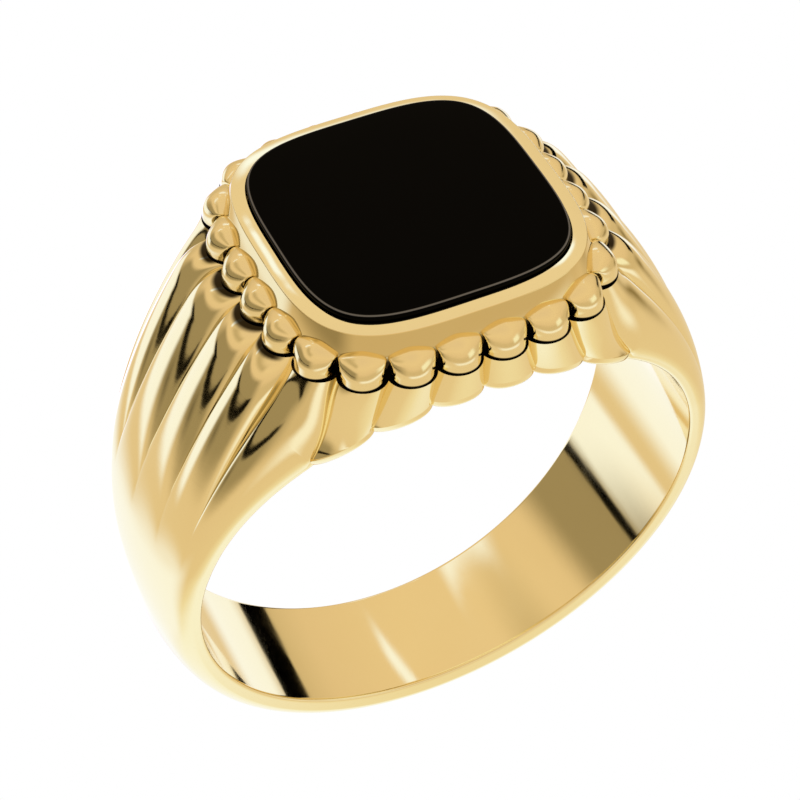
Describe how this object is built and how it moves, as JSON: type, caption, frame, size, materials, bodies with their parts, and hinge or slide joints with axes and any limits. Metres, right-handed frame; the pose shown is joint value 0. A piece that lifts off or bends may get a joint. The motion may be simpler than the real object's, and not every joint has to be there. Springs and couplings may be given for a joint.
{
  "type": "signet ring",
  "caption": "Gold-coloured signet ring with a flat cushion-cut black stone in a plain bezel, a row of round beads about it and fluted shoulders that taper into a plain band.",
  "frame": {"origin": "centre of the finger hole", "axes": "+Y along the finger hole, +Z out of the stone's face, +X across the shoulders"},
  "size_m": [0.0228, 0.0134, 0.0247],
  "materials": {
    "polished_gold": "mirror-polished yellow gold",
    "bezel_gold": "finely brushed, then polished yellow gold",
    "bead_gold": "polished yellow gold",
    "inner_gold": "yellow gold as cast",
    "cement": "set jewellery epoxy",
    "onyx": "mirror-polished black onyx"
  },
  "bodies": {
    "root": {"shank": "polished_gold", "bezel_collar": "bezel_gold", "bezel_plate": "inner_gold", "bearing_ledge": "inner_gold", "stone_cement": "cement", "onyx_stone": "onyx", "bead_01": "bead_gold", "bead_02": "bead_gold", "bead_03": "bead_gold", "bead_04": "bead_gold", "bead_05": "bead_gold", "bead_06": "bead_gold", "bead_07": "bead_gold", "bead_08": "bead_gold", "bead_09": "bead_gold", "bead_10": "bead_gold", "bead_11": "bead_gold", "bead_12": "bead_gold", "bead_13": "bead_gold", "bead_14": "bead_gold", "bead_15": "bead_gold", "bead_16": "bead_gold", "bead_17": "bead_gold", "bead_18": "bead_gold", "bead_19": "bead_gold", "bead_20": "bead_gold", "bead_21": "bead_gold", "bead_22": "bead_gold", "bead_23": "bead_gold", "bead_24": "bead_gold"}
  },
  "joints": []
}
